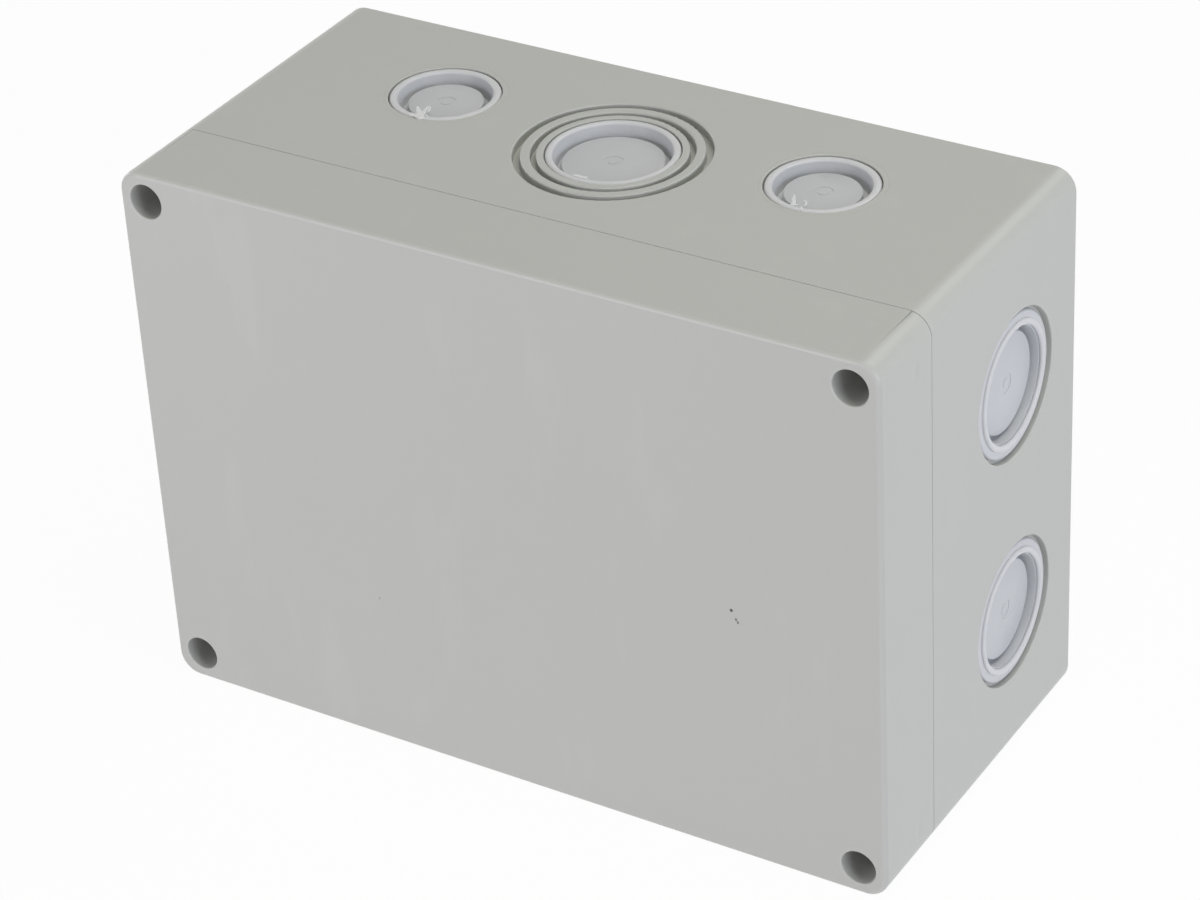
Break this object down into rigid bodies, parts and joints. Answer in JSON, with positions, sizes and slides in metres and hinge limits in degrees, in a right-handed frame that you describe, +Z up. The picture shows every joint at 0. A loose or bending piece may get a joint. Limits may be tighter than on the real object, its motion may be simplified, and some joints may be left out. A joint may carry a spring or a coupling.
{
  "type": "electrical junction box",
  "caption": "Rectangular plastic junction box with a deep screwed lid, round membrane cable entries on four sides and a terminal strip inside.",
  "frame": {"origin": "middle of the long side wall that the box stands on", "axes": "+X along the width, -Y out of the lid, +Y out of the back, +Z up"},
  "size_m": [0.176, 0.085, 0.126],
  "materials": {
    "case_plastic": "smooth moulded light grey",
    "grommet_soft_plastic": "soft satin light blue-grey",
    "seal_foam": "matte black",
    "screw_steel": "zinc plated",
    "strip_plastic": "off-white polyamide",
    "terminal_brass": "bright drawn brass"
  },
  "bodies": {
    "case": {"base_box": "case_plastic", "grommet_top_left": "grommet_soft_plastic", "grommet_top_centre": "grommet_soft_plastic", "grommet_top_right": "grommet_soft_plastic", "grommet_bottom_left": "grommet_soft_plastic", "grommet_bottom_centre": "grommet_soft_plastic", "grommet_bottom_right": "grommet_soft_plastic", "grommet_left_upper": "grommet_soft_plastic", "grommet_left_lower": "grommet_soft_plastic", "grommet_right_upper": "grommet_soft_plastic", "grommet_right_lower": "grommet_soft_plastic", "terminal_strip": "strip_plastic", "terminal_1": "terminal_brass", "terminal_2": "terminal_brass", "terminal_3": "terminal_brass", "terminal_4": "terminal_brass", "terminal_5": "terminal_brass", "strip_screw_left": "screw_steel", "strip_screw_right": "screw_steel"},
    "cover": {"lid": "case_plastic", "lid_seal": "seal_foam"},
    "lid_screw_upper_left": {"lid_screw_upper_left": "screw_steel"},
    "lid_screw_upper_right": {"lid_screw_upper_right": "screw_steel"},
    "lid_screw_lower_left": {"lid_screw_lower_left": "screw_steel"},
    "lid_screw_lower_right": {"lid_screw_lower_right": "screw_steel"},
    "clamp_screw_1_upper": {"clamp_screw_1_upper": "screw_steel"},
    "clamp_screw_1_lower": {"clamp_screw_1_lower": "screw_steel"},
    "clamp_screw_2_upper": {"clamp_screw_2_upper": "screw_steel"},
    "clamp_screw_2_lower": {"clamp_screw_2_lower": "screw_steel"},
    "clamp_screw_3_upper": {"clamp_screw_3_upper": "screw_steel"},
    "clamp_screw_3_lower": {"clamp_screw_3_lower": "screw_steel"},
    "clamp_screw_4_upper": {"clamp_screw_4_upper": "screw_steel"},
    "clamp_screw_4_lower": {"clamp_screw_4_lower": "screw_steel"},
    "clamp_screw_5_upper": {"clamp_screw_5_upper": "screw_steel"},
    "clamp_screw_5_lower": {"clamp_screw_5_lower": "screw_steel"}
  },
  "joints": [
    {"name": "lid_lift", "type": "slide", "parent": "case", "child": "cover", "axis": [0, -1, 0], "range_m": [0, 0.11]},
    {"name": "lid_screw_upper_left_out", "type": "slide", "parent": "cover", "child": "lid_screw_upper_left", "axis": [0, -1, 0], "range_m": [0, 0.015]},
    {"name": "lid_screw_upper_right_out", "type": "slide", "parent": "cover", "child": "lid_screw_upper_right", "axis": [0, -1, 0], "range_m": [0, 0.015]},
    {"name": "lid_screw_lower_left_out", "type": "slide", "parent": "cover", "child": "lid_screw_lower_left", "axis": [0, -1, 0], "range_m": [0, 0.015]},
    {"name": "lid_screw_lower_right_out", "type": "slide", "parent": "cover", "child": "lid_screw_lower_right", "axis": [0, -1, 0], "range_m": [0, 0.015]},
    {"name": "clamp_1_upper", "type": "slide", "parent": "case", "child": "clamp_screw_1_upper", "axis": [0, -1, 0], "range_m": [-0.0026, 0.0005]},
    {"name": "clamp_1_lower", "type": "slide", "parent": "case", "child": "clamp_screw_1_lower", "axis": [0, -1, 0], "range_m": [-0.0026, 0.0005]},
    {"name": "clamp_2_upper", "type": "slide", "parent": "case", "child": "clamp_screw_2_upper", "axis": [0, -1, 0], "range_m": [-0.0026, 0.0005]},
    {"name": "clamp_2_lower", "type": "slide", "parent": "case", "child": "clamp_screw_2_lower", "axis": [0, -1, 0], "range_m": [-0.0026, 0.0005]},
    {"name": "clamp_3_upper", "type": "slide", "parent": "case", "child": "clamp_screw_3_upper", "axis": [0, -1, 0], "range_m": [-0.0026, 0.0005]},
    {"name": "clamp_3_lower", "type": "slide", "parent": "case", "child": "clamp_screw_3_lower", "axis": [0, -1, 0], "range_m": [-0.0026, 0.0005]},
    {"name": "clamp_4_upper", "type": "slide", "parent": "case", "child": "clamp_screw_4_upper", "axis": [0, -1, 0], "range_m": [-0.0026, 0.0005]},
    {"name": "clamp_4_lower", "type": "slide", "parent": "case", "child": "clamp_screw_4_lower", "axis": [0, -1, 0], "range_m": [-0.0026, 0.0005]},
    {"name": "clamp_5_upper", "type": "slide", "parent": "case", "child": "clamp_screw_5_upper", "axis": [0, -1, 0], "range_m": [-0.0026, 0.0005]},
    {"name": "clamp_5_lower", "type": "slide", "parent": "case", "child": "clamp_screw_5_lower", "axis": [0, -1, 0], "range_m": [-0.0026, 0.0005]}
  ]
}
